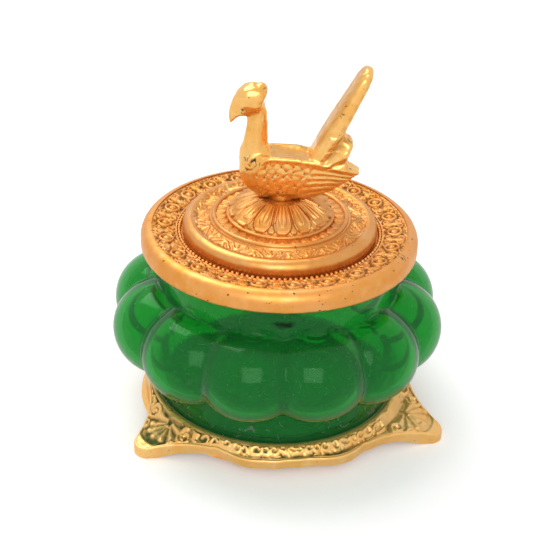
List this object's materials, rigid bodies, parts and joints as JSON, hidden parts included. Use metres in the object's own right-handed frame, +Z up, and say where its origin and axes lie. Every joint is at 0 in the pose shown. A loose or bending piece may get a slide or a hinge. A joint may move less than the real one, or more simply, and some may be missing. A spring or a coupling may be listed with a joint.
{
  "type": "kumkum box",
  "caption": "Kumkum box: lobed green glass bowl in a triangular gilt cast base, with a gilt collar and a loose gilt lid topped by a peacock.",
  "frame": {"origin": "on the upright axis of the glass bowl, at the level of the table under the feet", "axes": "+Z up along the bowl's axis; -X the way the peacock looks; -Y towards the camera of the picture"},
  "size_m": [0.0905, 0.0905, 0.0995],
  "materials": {
    "gilt_base": "gold leaf lacquer, olive in the recesses",
    "gilt_collar": "gold leaf lacquer, satin",
    "gilt_lid": "gold leaf lacquer, satin",
    "gilt_peacock": "gold leaf lacquer, satin, pitted",
    "green_glass": "transparent green, polished",
    "clear_cement": "cured clear cement",
    "zinc_steel": "zinc plated"
  },
  "bodies": {
    "stand": {"base_casting": "gilt_base", "foot_cement": "clear_cement", "glass_bowl": "green_glass", "neck_cement": "clear_cement", "collar_ring": "gilt_collar", "bead_wire": "gilt_collar"},
    "lid": {"lid_casting": "gilt_lid", "lid_wire_ring": "gilt_lid", "lotus_boss": "gilt_lid", "peacock": "gilt_peacock", "finial_screw": "zinc_steel", "finial_washer": "zinc_steel"}
  },
  "joints": [
    {"name": "lid_lift", "type": "slide", "parent": "stand", "child": "lid", "axis": [0, 0, 1], "range_m": [0, 0.06]}
  ]
}
